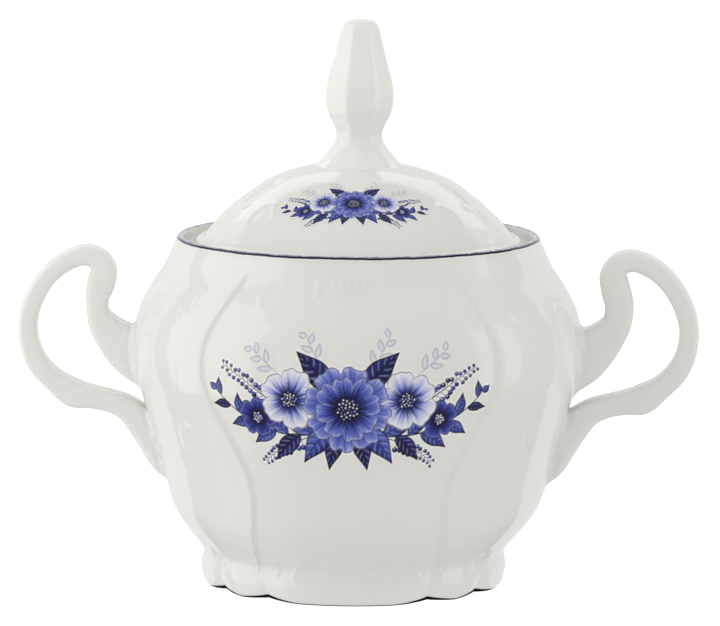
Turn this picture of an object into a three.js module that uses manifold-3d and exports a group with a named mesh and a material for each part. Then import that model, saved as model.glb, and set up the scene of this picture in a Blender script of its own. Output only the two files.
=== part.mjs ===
// Covered sugar bowl in glazed porcelain: a footed bowl, two ear handles, an inset lid and its knob.
// Millimetres, +Z up, origin on the table under the bowl's axis, handles along X, front face at -Y.
import * as THREE from 'three';
import { mergeVertices } from 'three/addons/utils/BufferGeometryUtils.js';
import Module from 'manifold-3d';

const wasm = await Module();
wasm.setup();

// ---------------------------------------------------------------- driving dimensions
const SEGMENTS = 64;            // facets around the bowl and the lid
const KNOB_SEGMENTS = 32;       // facets around the knob
const JOINT_GAP = 0.3;          // clearance between pieces that touch

const RIM_TOP = 74.4;           // height of the bowl's lip
const RIM_OUTER = 38.4;         // outer radius of the lip
const RIM_INNER = 36.9;         // inner radius of the lip
const SEAT_Z = 71.7;            // height of the gallery ledge that the lid rests on
const THROAT_RADIUS = 31.0;     // radius of the hole inside the gallery ledge
const BASE_TOP = 6.2;           // height of the inside bottom
const BASE_UNDER = 3.0;         // height of the recess under the base
const FOOT_INNER = 27.2;        // inner radius of the standing ring

const CUSPS = [33, 59];         // where two lobes of the foot meet, in degrees from the front or back
const CUSP_REACH = 16;          // degrees either side of a cusp over which the edge rises to it
const CUSP_LIFT = 1.15;         // how far the foot's edge rises at a cusp
const CUSP_CURVE = 1.7;         // above 1 makes the rise steepest at the cusp itself
const SIDE_LIFT = 0.15;         // how far it rises towards the handles
const FOOT_DIP = 0.6;           // how far the foot's skirt steps in at a cusp
const SKIRT_START = 29.3;       // radius where the scalloped skirt begins, under the foot
const SKIRT_FULL = 30.6;        // radius beyond which the foot is all skirt
const EDGE_LOW = 0.6;           // the edge's rise is whole up to this height
const EDGE_HIGH = 4.8;          // and has faded out at this one
const LOBES_LOW = 3.0;          // the lobes are whole up to this height
const FOOT_FADE = 11.0;         // and have faded into the round body at this one
const FOOT_SHIFT = -0.7;        // the foot stands this far off the bowl's axis, along X
const SHIFT_FADE = 24.0;        // height at which the shift has faded out

const LID_RADIUS = 34.5;        // outer radius of the lid's edge
const LID_UNDER = SEAT_Z + JOINT_GAP;
const FLANGE_OUTER = 29.9;      // locating ring under the lid
const FLANGE_INNER = 27.4;
const FLANGE_BOTTOM = 66.0;
const DOME_TOP = 90.0;          // top of the dome, under the knob
const DOME_WALL = 2.7;

const KNOB_BASE = 8.4;          // radius where the knob flares onto the dome
const DOME_DROP = 0.6;          // how far the dome has dropped at that radius
const KNOB_FACETS = 8;
const KNOB_TURN = 4;            // degrees that the knob's front facet is turned from -Y
const FACET_MIDDLE = 0.965;     // radius at the middle of a facet, as a share of the mean one
const FACET_EDGE = 1.03;        // radius at its softened edges
const FACETS_START = 91.0;      // height where the facets begin to show
const FACETS_FULL = 96.0;       // height where they are whole
const TOTAL_HEIGHT = 120.0;

const HANDLE_STEPS = 44;        // rings along each handle
const HANDLE_SIDES = 12;        // corners of a handle's section
const HANDLE_SQUARE = 0.6;      // 1 makes the section an ellipse, 0 a rectangle

const PORCELAIN = { color: 0xefeeea, roughness: 0.12, metalness: 0 };

// ---------------------------------------------------------------- helpers
const point = ([r, z]) => new THREE.Vector2(r, z);
const corners = (list) => list.map(point);
const smooth = (list, steps) => new THREE.SplineCurve(corners(list)).getPoints(steps);

function revolve(profile, segments) {
  return new THREE.LatheGeometry(profile, segments).rotateX(Math.PI / 2);
}

function positionsOnly(geometry) {
  geometry.deleteAttribute('normal');
  geometry.deleteAttribute('uv');
  return mergeVertices(geometry, 1e-4);
}

function toSolid(geometry) {
  const bare = positionsOnly(geometry);
  return new wasm.Manifold(new wasm.Mesh({
    numProp: 3,
    vertProperties: new Float32Array(bare.attributes.position.array),
    triVerts: new Uint32Array(bare.index.array),
  }));
}

function fromSolid(solid) {
  const result = solid.getMesh();
  const geometry = new THREE.BufferGeometry();
  geometry.setAttribute('position', new THREE.BufferAttribute(result.vertProperties, 3));
  geometry.setIndex(new THREE.BufferAttribute(result.triVerts, 1));
  return geometry;
}

function piece(name, geometry) {
  geometry.computeVertexNormals();
  const mesh = new THREE.Mesh(geometry, new THREE.MeshStandardMaterial(PORCELAIN));
  mesh.name = name;
  return mesh;
}

// ---------------------------------------------------------------- bowl
const outerWall = smooth([
  [32.0, 2.2], [32.3, 4.4], [31.9, 7.4], [33.1, 9.4], [35.9, 12.8], [38.2, 16.2], [39.8, 20.2],
  [42.3, 29.5], [45.0, 38.4], [47.2, 45.8], [47.6, 52.4], [46.3, 58.6], [43.7, 63.8], [41.1, 67.8],
  [39.6, 71.0], [RIM_OUTER, 73.6],
], 26);

const innerWall = smooth([
  [34.6, 68.7], [38.8, 66.0], [41.9, 61.0], [43.9, 55.0], [44.2, 48.0], [41.8, 38.0], [38.6, 27.0],
  [36.3, 18.6], [32.6, 12.6], [26.0, 8.2], [15.0, BASE_TOP + 0.2],
], 11);

// 1 in a direction where two lobes of the foot meet, down to 0 at CUSP_REACH from it.
function nearCusp(angle) {
  const fromFront = THREE.MathUtils.radToDeg(Math.acos(Math.min(Math.abs(Math.sin(angle)), 1)));
  const away = Math.min(...CUSPS.map((cusp) => Math.abs(fromFront - cusp)));
  return Math.max(1 - away / CUSP_REACH, 0);
}

// Scallops the foot's skirt, lifts its edge at the cusps and sets the foot off centre.
function shapeFoot(geometry) {
  const { smoothstep } = THREE.MathUtils;
  const vertex = new THREE.Vector3();
  const { position } = geometry.attributes;
  for (let i = 0; i < position.count; i += 1) {
    vertex.fromBufferAttribute(position, i);
    const { x, y, z } = vertex;
    const radius = Math.hypot(x, y);
    const angle = Math.atan2(y, x);
    const near = nearCusp(angle);
    const onFoot = z < FOOT_FADE ? smoothstep(radius, FOOT_INNER, FOOT_INNER + 1) : 0;
    const onSkirt = onFoot * smoothstep(radius, SKIRT_START, SKIRT_FULL);
    const dip = FOOT_DIP * near ** 2 * (1 - smoothstep(z, LOBES_LOW, FOOT_FADE)) * onSkirt;
    const rise = CUSP_LIFT * near ** CUSP_CURVE * onFoot + SIDE_LIFT * Math.cos(angle) ** 2 * onSkirt;
    const lift = rise * (1 - smoothstep(z, EDGE_LOW, EDGE_HIGH));
    const scale = radius > 0 ? 1 - dip / radius : 1;
    const shift = FOOT_SHIFT * (1 - smoothstep(z, 0, SHIFT_FADE));
    position.setXYZ(i, x * scale + shift, y * scale, z + lift);
  }
  return geometry;
}

function makeBowl() {
  const profile = [
    ...corners([[0, BASE_UNDER], [FOOT_INNER - 2.4, BASE_UNDER], [FOOT_INNER, 1.6]]),
    ...corners([[FOOT_INNER + 0.7, 0.1], [28.2, 0], [28.9, 0], [29.5, 0.7]]),
    ...corners([[29.9, 0.9], [31.0, 0.45], [31.5, 0.7]]),
    ...outerWall,
    ...corners([[RIM_OUTER - 0.35, RIM_TOP - 0.2], [RIM_OUTER - 0.75, RIM_TOP]]),
    ...corners([[RIM_INNER + 0.3, RIM_TOP - 0.2], [RIM_INNER, RIM_TOP - 0.9]]),
    ...corners([[RIM_INNER - 0.5, SEAT_Z + 0.3], [RIM_INNER - 0.9, SEAT_Z]]),
    ...corners([[THROAT_RADIUS + 0.6, SEAT_Z], [THROAT_RADIUS, SEAT_Z - 0.6]]),
    ...corners([[THROAT_RADIUS, SEAT_Z - 1.8], [THROAT_RADIUS + 0.8, SEAT_Z - 2.6]]),
    ...innerWall,
    ...corners([[0, BASE_TOP]]),
  ];
  return shapeFoot(revolve(profile, SEGMENTS));
}

// ---------------------------------------------------------------- handles
// One handle, for the right side: [x, z, half thickness, half depth] from the upper joint, up
// over the thumb curl, round the loop and back along the lower arm to the lower joint.
const handlePath = [
  [40.6, 46.9, 8, 5.2],
  [43.8, 48, 7, 4.9],
  [47.8, 49.4, 5.7, 4.3],
  [51.6, 52.2, 4.2, 3.8],
  [54.6, 56, 3.1, 3.6],
  [55.2, 60, 3, 3.5],
  [54.4, 63.6, 3.05, 3.5],
  [53.9, 66.4, 2.8, 3.5],
  [55.3, 68.8, 2.4, 3.5],
  [58.3, 69.5, 2.2, 3.5],
  [62, 68.1, 2.15, 3.5],
  [65.2, 65.5, 2.1, 3.5],
  [67.6, 62.2, 2.1, 3.5],
  [69.3, 58.4, 2.1, 3.5],
  [70, 54.4, 2.05, 3.5],
  [69.4, 49.8, 2.15, 3.5],
  [67.5, 45.9, 2.3, 3.5],
  [64.4, 42.8, 2.4, 3.5],
  [60.4, 40.1, 3.05, 3.5],
  [56.5, 39.3, 2.5, 3.5],
  [52.4, 38.4, 2.4, 3.5],
  [48.9, 36.9, 2.7, 3.7],
  [45.8, 34, 3.3, 4],
  [43, 30.5, 3.7, 4.3],
  [40.6, 26.9, 3.8, 4.4],
  [38.2, 24.5, 3.2, 4.1],
  [34.8, 22.8, 2.3, 3.5],
];

function sectionPoint(frame, corner) {
  const angle = (corner / HANDLE_SIDES) * 2 * Math.PI;
  const squarer = (value) => Math.sign(value) * Math.abs(value) ** HANDLE_SQUARE;
  return frame.centre.clone()
    .addScaledVector(frame.across, squarer(Math.cos(angle)) * frame.halfThickness)
    .addScaledVector(frame.depth, squarer(Math.sin(angle)) * frame.halfDepth);
}

function loft(rings) {
  const sides = rings[0].length;
  const vertices = rings.flat().flatMap((p) => p.toArray());
  const faces = [];
  for (let ring = 0; ring < rings.length - 1; ring += 1) {
    for (let side = 0; side < sides; side += 1) {
      const a = ring * sides + side;
      const b = ring * sides + ((side + 1) % sides);
      faces.push(a, b, a + sides, b, b + sides, a + sides);
    }
  }
  const last = (rings.length - 1) * sides;
  for (let side = 1; side < sides - 1; side += 1) {
    faces.push(0, side + 1, side);
    faces.push(last, last + side, last + side + 1);
  }
  const geometry = new THREE.BufferGeometry();
  geometry.setAttribute('position', new THREE.Float32BufferAttribute(vertices, 3));
  geometry.setIndex(faces);
  return geometry;
}

function handleLoft() {
  const centreLine = new THREE.CatmullRomCurve3(handlePath.map(([x, z]) => new THREE.Vector3(x, 0, z)));
  const sizes = new THREE.SplineCurve(handlePath.map(([, , h, d]) => new THREE.Vector2(h, d)));
  const depth = new THREE.Vector3(0, 1, 0);
  const rings = [];
  for (let step = 0; step <= HANDLE_STEPS; step += 1) {
    const t = step / HANDLE_STEPS;
    const size = sizes.getPoint(t);
    const frame = {
      centre: centreLine.getPoint(t),
      across: new THREE.Vector3().crossVectors(depth, centreLine.getTangent(t)),
      depth,
      halfThickness: size.x,
      halfDepth: size.y,
    };
    rings.push(Array.from({ length: HANDLE_SIDES }, (_, corner) => sectionPoint(frame, corner)));
  }
  return loft(rings);
}

// The round body with the joint gap around it, which a handle's ends are cut back to.
function bodyKeepOut() {
  const profile = [
    new THREE.Vector2(0, outerWall[0].y),
    ...outerWall.map((p) => new THREE.Vector2(p.x + JOINT_GAP, p.y)),
    new THREE.Vector2(0, RIM_TOP),
  ];
  return toSolid(revolve(profile, SEGMENTS));
}

function makeHandle() {
  return fromSolid(toSolid(handleLoft()).subtract(bodyKeepOut()));
}

// ---------------------------------------------------------------- lid
const dome = smooth([
  [32.7, 74.15], [31.3, 75.6], [29.5, 77.9], [26.8, 80.5], [23.6, 83.0], [19.9, 85.5], [15.0, 87.8],
  [KNOB_BASE, DOME_TOP - DOME_DROP], [0, DOME_TOP],
], 12);

const domeInside = smooth([
  [0, DOME_TOP - DOME_WALL], [8.0, 86.7], [14.4, 84.9], [19.6, 82.2], [24.4, 78.6], [27.0, 75.6],
], 6);

function makeLid() {
  const profile = [
    ...domeInside,
    ...corners([[FLANGE_INNER, 74.2], [FLANGE_INNER, FLANGE_BOTTOM + 0.6]]),
    ...corners([[FLANGE_INNER + 0.6, FLANGE_BOTTOM], [FLANGE_OUTER - 0.8, FLANGE_BOTTOM]]),
    ...corners([[FLANGE_OUTER - 0.1, FLANGE_BOTTOM + 0.8], [FLANGE_OUTER, LID_UNDER - 0.6]]),
    ...corners([[FLANGE_OUTER + 0.6, LID_UNDER], [LID_RADIUS - 0.9, LID_UNDER]]),
    ...corners([[LID_RADIUS - 0.2, LID_UNDER + 0.4], [LID_RADIUS, LID_UNDER + 0.9]]),
    ...corners([[LID_RADIUS - 0.35, LID_UNDER + 1.6], [LID_RADIUS - 1.2, LID_UNDER + 2.05]]),
    ...dome,
  ];
  return revolve(profile, SEGMENTS);
}

// ---------------------------------------------------------------- knob
// Radius of a regular octagon with softened corners, relative to its mean, at an angle.
function facetRadius(angle) {
  const pitch = (2 * Math.PI) / KNOB_FACETS;
  const front = -Math.PI / 2 + THREE.MathUtils.degToRad(KNOB_TURN);
  const off = angle - front - pitch * Math.round((angle - front) / pitch);
  return Math.min(FACET_MIDDLE / Math.cos(off), FACET_EDGE);
}

const knobSide = smooth([
  [KNOB_BASE, 89.9], [7.3, 91.1], [5.6, 93.3], [4.9, 95.6], [5.6, 98.0], [6.8, 100.4], [7.3, 103.6],
  [6.9, 107.2], [5.8, 111.2], [4.7, 115.4], [3.9, 118.4], [2.8, 119.6],
], 18);

function makeKnob() {
  const underneath = [1 / 3, 2 / 3, 1].map((share) => {
    const onDome = DOME_TOP - DOME_DROP * share ** 2;
    return new THREE.Vector2(KNOB_BASE * share, onDome + JOINT_GAP);
  });
  const profile = [
    new THREE.Vector2(0, DOME_TOP + JOINT_GAP),
    ...underneath,
    ...knobSide,
    ...corners([[1.6, TOTAL_HEIGHT - 0.1], [0, TOTAL_HEIGHT]]),
  ];
  const geometry = revolve(profile, KNOB_SEGMENTS);
  const vertex = new THREE.Vector3();
  const { position } = geometry.attributes;
  for (let i = 0; i < position.count; i += 1) {
    vertex.fromBufferAttribute(position, i);
    const grow = THREE.MathUtils.smoothstep(vertex.z, FACETS_START, FACETS_FULL);
    const scale = 1 + grow * (facetRadius(Math.atan2(vertex.y, vertex.x)) - 1);
    position.setXYZ(i, vertex.x * scale, vertex.y * scale, vertex.z);
  }
  return geometry;
}

// ---------------------------------------------------------------- assembly
const base = new THREE.Group();
base.add(piece('bowl', makeBowl()));
base.add(piece('handle_right', makeHandle()));
const handleLeft = piece('handle_left', makeHandle());
handleLeft.rotation.z = Math.PI;
base.add(handleLeft);

const cover = new THREE.Group();
cover.add(piece('lid', makeLid()));
cover.add(piece('knob', makeKnob()));

const sugarBowl = new THREE.Group();
sugarBowl.add(base, cover);

export default sugarBowl;
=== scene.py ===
"""The looks of a covered porcelain sugar bowl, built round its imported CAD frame.

The object's lengths are in millimetres up to the moment a mesh is made, and the studio's in metres.
Angles are in radians, or in degrees where a brush, a scroll or a lamp is aimed. Those round +Z are
measured from the front, which faces -Y, and grow towards +X.
"""

from math import cos, radians, sin

import bpy
import numpy as np
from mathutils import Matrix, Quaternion, Vector


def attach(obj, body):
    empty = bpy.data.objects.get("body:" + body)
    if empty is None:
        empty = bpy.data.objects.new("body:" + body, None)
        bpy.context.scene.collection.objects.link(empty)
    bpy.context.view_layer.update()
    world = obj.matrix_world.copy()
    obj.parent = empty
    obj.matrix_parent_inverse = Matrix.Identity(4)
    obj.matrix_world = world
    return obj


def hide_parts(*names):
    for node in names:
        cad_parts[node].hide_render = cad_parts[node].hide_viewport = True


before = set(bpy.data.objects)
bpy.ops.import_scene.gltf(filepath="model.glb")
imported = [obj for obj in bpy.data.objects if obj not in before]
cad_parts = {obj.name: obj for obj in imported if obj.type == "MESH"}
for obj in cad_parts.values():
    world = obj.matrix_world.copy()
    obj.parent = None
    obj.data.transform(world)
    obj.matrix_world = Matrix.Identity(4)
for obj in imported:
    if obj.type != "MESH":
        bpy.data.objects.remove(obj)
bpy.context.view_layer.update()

MM = 0.001

# ------------------------------------------------------------------ driving dimensions
GIRTH = 47.0          # radius that the body's painting and relief are laid out on
MID_HEIGHT = 44.0     # height of the middle of the body's painting
LIP_TOP = 74.4
COLUMNS = 720         # columns of the bowl's mesh
LID_COLUMNS = 600
LID_GIRTH = 26.0      # radius that the lid's relief is laid out on
FILM = 0.035          # how far the printed films stand off the glaze

FOOT_INNER = 27.2     # radius of the foot's inner edge
SKIRT_START, SKIRT_FULL = 29.3, 30.6     # radii where the foot's scalloped skirt begins and is whole
LOBES_LOW, FOOT_FADE = 3.0, 11.0         # the lobes are whole up to the first height, and gone at the second
EDGE_LOW, EDGE_HIGH = 0.6, 4.8           # the same for the rise of the edge
FOOT_DIP = 0.6        # how far the foot's skirt steps in where two lobes meet
CUSP_LIFT = 1.15      # how far the foot's edge rises where two lobes meet
CUSP_CURVE = 1.7      # above 1 makes the rise steepest at the cusp itself
SIDE_LIFT = 0.15      # how far it rises towards the handles
CUSPS = (radians(33.0), radians(59.0))     # where the lobes meet, from the front or the back
CUSP_REACH = radians(16.0)
FOOT_SHIFT = -0.7              # the foot sits slightly off centre under the bowl
SHIFT_LOW, SHIFT_HIGH = 2.0, 24.0     # its shift is whole up to the first height, and gone at the second
SKIRT_EDGE = (31.0, 0.45)      # radius and height of the skirt's edge, away from the cusps

KNOB_TURN = radians(4.0)       # the knob's front facet is turned this far from the front
KNOB_LEAN = 0.009              # and it leans this much to the right
KNOB_FOOT, KNOB_TOP = 90.0, 120.0
FACETS_START, FACETS_FULL = 91.0, 96.5     # heights where the facets begin to show and are whole
FACETS_SOFTEN = 118.0          # and where they begin to soften towards the top
FACET_SHARPNESS, FACET_MEAN = 26, 0.978     # how crisp the eight edges are, and the scale that goes with it
FLUTES_START, FLUTES_FULL, FLUTES_FADE, FLUTES_END = 89.4, 91.4, 93.5, 97.5     # the same for its low flutes
FLUTE_DEPTH = 0.022            # as a share of the radius

# Outlines are (radius, height) pairs, as in the CAD.
STANDING_RING = [(24.8, 3.0), (26.4, 2.6), (27.2, 1.4), (27.75, 0.2), (28.2, 0.0), (28.8, 0.0), (29.25, 0.25),
                 (29.5, 0.7), (29.9, 0.9), (30.5, 0.68), (31.0, 0.45), (31.45, 0.65), (31.75, 1.2)]
OUTER_WALL = [
    (32.0, 2.2), (32.3, 4.4), (31.9, 7.4), (33.1, 9.4), (35.9, 12.8), (38.2, 16.2), (39.8, 20.2),
    (42.3, 29.5), (45.0, 38.4), (47.2, 45.8), (47.6, 52.4), (46.3, 58.6), (43.7, 63.8), (41.1, 67.8),
    (39.6, 71.0), (38.4, 73.6)]
LIP = [(38.4, 73.6), (38.22, 74.05), (37.95, 74.33), (37.6, LIP_TOP), (37.25, 74.3), (36.98, 73.95),
       (36.8, 73.3), (36.5, 72.3), (36.1, 71.8), (35.5, 71.7)]
GALLERY = [(35.5, 71.7), (31.8, 71.7), (31.2, 71.45), (31.0, 70.9), (31.0, 70.1), (31.4, 69.3), (32.6, 68.9)]
INNER_WALL = [
    (32.6, 68.9), (34.6, 68.5), (38.8, 66.0), (41.9, 61.0), (43.9, 55.0), (44.2, 48.0), (41.8, 38.0),
    (38.6, 27.0), (36.3, 18.6), (32.6, 12.6), (26.0, 8.2), (15.0, 6.4), (0.6, 6.2)]

LID_INSIDE = [(0.6, 87.3), (8.0, 86.7), (14.4, 84.9), (19.6, 82.2), (24.4, 78.6), (27.0, 75.6), (27.4, 74.2)]
FLANGE = [(27.4, 74.2), (27.4, 66.9), (27.6, 66.3), (28.2, 66.0), (29.0, 66.0), (29.7, 66.4), (29.85, 67.2),
          (29.9, 71.2), (30.1, 71.8), (30.7, 72.0), (33.5, 72.0)]
BRIM = [(33.5, 72.0), (34.15, 72.2), (34.5, 72.85), (34.3, 73.5), (33.75, 73.95), (33.15, 74.05),
        (32.85, 74.02), (32.6, 74.3), (32.2, 74.8)]
DOME = [(32.2, 74.8), (31.3, 75.75), (29.5, 77.9), (26.8, 80.5), (23.6, 83.0), (19.9, 85.5), (15.0, 87.8),
        (8.4, 89.4), (0.6, 90.0)]

KNOB_SIDE = [
    (9.5, 89.12), (8.8, 89.62), (8.3, 90.1), (7.3, 91.1), (5.6, 93.3), (4.9, 95.6), (5.6, 98.0),
    (6.8, 100.4), (7.3, 103.6), (6.9, 107.2), (5.8, 111.2), (4.7, 115.4), (3.9, 118.4), (3.2, 119.5),
    (2.4, 119.9), (0.3, KNOB_TOP)]

HANDLE_SQUARENESS = 0.52     # power of its section's cosines: 1 is an ellipse, and less is squarer
PINCH_HEIGHT, PINCH_REACH = 58.6, 3.0     # where the left handle is pinched, under the thumb curl
PINCH_SIDE = 58.0            # and the x that the pinch stays inside, so that the outer arm has none

# One handle, for the +X side: x, z, half thickness and half depth along its middle line.
HANDLE_PATH = [
    (40.6, 46.9, 8.0, 5.2), (43.8, 48.0, 7.0, 4.9), (47.8, 49.4, 5.7, 4.3), (51.6, 52.2, 4.2, 3.8),
    (54.6, 56.0, 3.1, 3.6), (55.2, 60.0, 3.0, 3.5), (54.4, 63.6, 3.05, 3.5), (53.9, 66.4, 2.8, 3.5),
    (55.3, 68.8, 2.4, 3.5), (58.3, 69.5, 2.2, 3.5), (62.0, 68.1, 2.15, 3.5), (65.2, 65.5, 2.1, 3.5),
    (67.6, 62.2, 2.1, 3.5), (69.3, 58.4, 2.1, 3.5), (70.0, 54.4, 2.05, 3.5), (69.4, 49.8, 2.15, 3.5),
    (67.5, 45.9, 2.3, 3.5), (64.4, 42.8, 2.4, 3.5), (60.4, 40.1, 3.05, 3.5), (56.5, 39.3, 2.5, 3.5),
    (52.4, 38.4, 2.4, 3.5), (48.9, 36.9, 2.7, 3.7), (45.8, 34.0, 3.3, 4.0), (43.0, 30.5, 3.7, 4.3),
    (40.6, 26.9, 3.8, 4.4), (38.2, 24.5, 3.2, 4.1), (34.8, 22.8, 2.3, 3.5)]


# ------------------------------------------------------------------ small tools
def smoothstep(lo, hi, x):
    """0 up to lo, 1 from hi on, and a smooth rise between them."""
    t = np.clip((x - lo) / (hi - lo), 0.0, 1.0)
    return t * t * (3 - 2 * t)


def unit(v):
    return v / np.linalg.norm(v, axis=-1, keepdims=True)


def curve_through(points, count):
    """Points along the Catmull-Rom curve through the given ones."""
    p = np.array(points, float)
    p = np.vstack([p[:1], p, p[-1:]])
    spans = len(p) - 3
    t = np.linspace(0, spans, count)
    i = np.minimum(t.astype(int), spans - 1)
    f = (t - i)[:, None]
    a, b, c, d = p[i], p[i + 1], p[i + 2], p[i + 3]
    return 0.5 * (2 * b + (c - a) * f + (2 * a - 5 * b + 4 * c - d) * f ** 2
                  + (3 * b - 3 * c + d - a) * f ** 3)


def evenly(points, pitch):
    """The same line with its points a pitch apart."""
    run = run_of(points)
    at = np.linspace(0, run[-1], max(2, int(round(run[-1] / pitch)) + 1))
    return np.stack([np.interp(at, run, column) for column in points.T], -1)


def run_of(line):
    """The distance along a line to each of its points."""
    return np.concatenate([[0], np.cumsum(np.linalg.norm(np.diff(line, axis=0), axis=1))])


def joined(*parts):
    """Joins (points, pitch) parts into one line; each part begins where the last one ended."""
    lines = [evenly(curve_through(points, 60 * len(points)), pitch) for points, pitch in parts]
    return np.vstack([lines[0]] + [line[1:] for line in lines[1:]])


def wave_noise(x, seed, octaves=4):
    """Smooth noise of one variable, about -1 to 1, from a few seeded sine waves."""
    rng = np.random.default_rng(seed)
    total = np.zeros_like(x)
    for octave in range(octaves):
        total += np.sin(x * (1.0 + 0.83 * octave) + rng.uniform(0, 6.3)) / (1 + 0.5 * octave)
    return total / 2.0


def add_mesh(name, points, quads, triangles=()):
    """A smooth-shaded mesh object from points in millimetres."""
    mesh = bpy.data.meshes.new(name)
    quads = np.asarray(quads, np.int32).reshape(-1, 4)
    triangles = np.asarray(triangles, np.int32).reshape(-1, 3)
    loops = np.concatenate([quads.ravel(), triangles.ravel()])
    starts = np.concatenate([np.arange(len(quads)) * 4, len(quads) * 4 + np.arange(len(triangles)) * 3])
    mesh.vertices.add(len(points))
    mesh.vertices.foreach_set("co", (np.asarray(points) * MM).astype(np.float32).ravel())
    mesh.loops.add(len(loops))
    mesh.loops.foreach_set("vertex_index", loops.astype(np.int32))
    mesh.polygons.add(len(starts))
    mesh.polygons.foreach_set("loop_start", starts.astype(np.int32))
    mesh.polygons.foreach_set("use_smooth", np.ones(len(starts), bool))
    mesh.update(calc_edges=True)
    mesh.validate()
    obj = bpy.data.objects.new(name, mesh)
    bpy.context.scene.collection.objects.link(obj)
    return obj


def lathe_faces(rows, columns):
    """Quads of a grid of points whose columns close on themselves."""
    i, j = np.meshgrid(np.arange(rows - 1), np.arange(columns), indexing="ij")
    nxt = (j + 1) % columns
    return np.stack([i * columns + j, i * columns + nxt, (i + 1) * columns + nxt, (i + 1) * columns + j], -1)


def lathe_mesh(name, grid):
    """A closed solid from rings of points, with a small fan over each end."""
    rows, columns, _ = grid.shape
    points = np.vstack([grid.reshape(-1, 3), grid[0].mean(0), grid[-1].mean(0)])
    first, last = rows * columns, rows * columns + 1
    j = np.arange(columns)
    nxt = (j + 1) % columns
    top = (rows - 1) * columns
    fans = np.vstack([np.stack([np.full(columns, first), nxt, j], -1),
                      np.stack([np.full(columns, last), top + j, top + nxt], -1)])
    return add_mesh(name, points, lathe_faces(rows, columns), fans)


def around(columns):
    """Equal angles all the way round."""
    return np.arange(columns) * 2 * np.pi / columns


def turn(theta, radius, height):
    """The point at an angle from the front, a radius and a height."""
    return np.stack([radius * np.sin(theta), -radius * np.cos(theta), height], -1)


# ------------------------------------------------------------------ sheets for relief and painting
class Sheet:
    """A flat working area in millimetres, u across and v up."""

    def __init__(self, left, right, low, high, pitch):
        self.u = np.arange(left, right + pitch / 2, pitch)
        self.v = np.arange(low, high + pitch / 2, pitch)
        self.pitch = pitch

    def window(self, u0, u1, v0, v1):
        """The cells inside a rectangle, as a place in the sheet's arrays and as their u and v."""
        rows = slice(*np.searchsorted(self.v, (v0, v1)))
        cols = slice(*np.searchsorted(self.u, (u0, u1)))
        uu, vv = np.meshgrid(self.u[cols], self.v[rows])
        return (rows, cols), uu, vv

    def follow(self, points, pad):
        """Signed distance to a line through points, left positive, and how far along it, 0 to 1."""
        line = curve_through(points, max(8, 12 * len(points)))
        low, high = line.min(0) - pad, line.max(0) + pad
        spot, uu, vv = self.window(low[0], high[0], low[1], high[1])
        near = np.full(uu.shape, 1e9)
        side, along = np.ones(uu.shape), np.zeros(uu.shape)
        for k in range(len(line) - 1):
            a, ab = line[k], line[k + 1] - line[k]
            t = np.clip(((uu - a[0]) * ab[0] + (vv - a[1]) * ab[1]) / max(ab @ ab, 1e-9), 0, 1)
            du, dv = uu - a[0] - t * ab[0], vv - a[1] - t * ab[1]
            gap = np.hypot(du, dv)
            closer = gap < near
            near = np.where(closer, gap, near)
            side = np.where(closer, np.sign(ab[0] * dv - ab[1] * du + 1e-12), side)
            along = np.where(closer, (k + t) / (len(line) - 1), along)
        return spot, near * side, along


class Relief(Sheet):
    """Raised work in the porcelain: a height over each place of the sheet."""

    def __init__(self, *size):
        super().__init__(*size)
        self.height = np.zeros((len(self.v), len(self.u)))

    def ridge(self, points, height, width, step=0.0, fade=5.0, taper=0.25):
        """A rounded ridge; step raises the ground on its left, or its right if negative, and dies away."""
        spot, off, along = self.follow(points, max(3 * width, 2 * fade if step else 0))
        ends = smoothstep(0, taper, along) * smoothstep(0, taper, 1 - along)
        bead = height * np.exp(-(off / width) ** 2) * ends
        self.height[spot] = np.maximum(self.height[spot], bead)
        if step:
            inner = off * np.sign(step)
            bank = abs(step) * smoothstep(-0.5 * width, 0.5 * width, inner)
            self.height[spot] += bank * np.exp(-np.maximum(inner, 0) / fade) * ends

    def at(self, u, v):
        """Heights at any places, by linear interpolation, 0 outside the sheet."""
        i, j = (u - self.u[0]) / self.pitch, (v - self.v[0]) / self.pitch
        inside = (i >= 0) & (j >= 0) & (i < len(self.u) - 1) & (j < len(self.v) - 1)
        i, j = np.clip(i, 0, len(self.u) - 1.001), np.clip(j, 0, len(self.v) - 1.001)
        i0, j0 = i.astype(int), j.astype(int)
        fi, fj = i - i0, j - j0
        h = self.height
        low = h[j0, i0] * (1 - fi) + h[j0, i0 + 1] * fi
        high = h[j0 + 1, i0] * (1 - fi) + h[j0 + 1, i0 + 1] * fi
        return np.where(inside, low * (1 - fj) + high * fj, 0.0)


class Skin:
    """A turned outline with relief on it, asked for by angle and by distance along the outline."""

    def __init__(self, line, raised, shift=0.0):
        self.line, self.run, self.raised, self.shift = line, run_of(line), raised, shift
        way = np.gradient(line, self.run, axis=0)
        self.normal = unit(np.stack([way[:, 1], -way[:, 0]], -1))

    def along(self, column, run):
        return np.interp(run, self.run, column)

    def at(self, theta, run, lift=0.0):
        """The points of the finished surface, or of one that stands lift off it."""
        radius, height = self.along(self.line[:, 0], run), self.along(self.line[:, 1], run)
        proud = self.raised(theta, radius, height, run) + lift
        radius = radius + proud * self.along(self.normal[:, 0], run)
        height = height + proud * self.along(self.normal[:, 1], run)
        spot = turn(theta, *lobed(theta, radius, height))
        spot[..., 0] += self.shift * (1 - smoothstep(SHIFT_LOW, SHIFT_HIGH, spot[..., 2]))
        return spot

    def run_at_height(self, height, first, last):
        """Where the outline passes a height, on its way up from one distance to another."""
        part = (self.run >= first) & (self.run <= last)
        return np.interp(height, self.line[part, 1], self.run[part])


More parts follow.
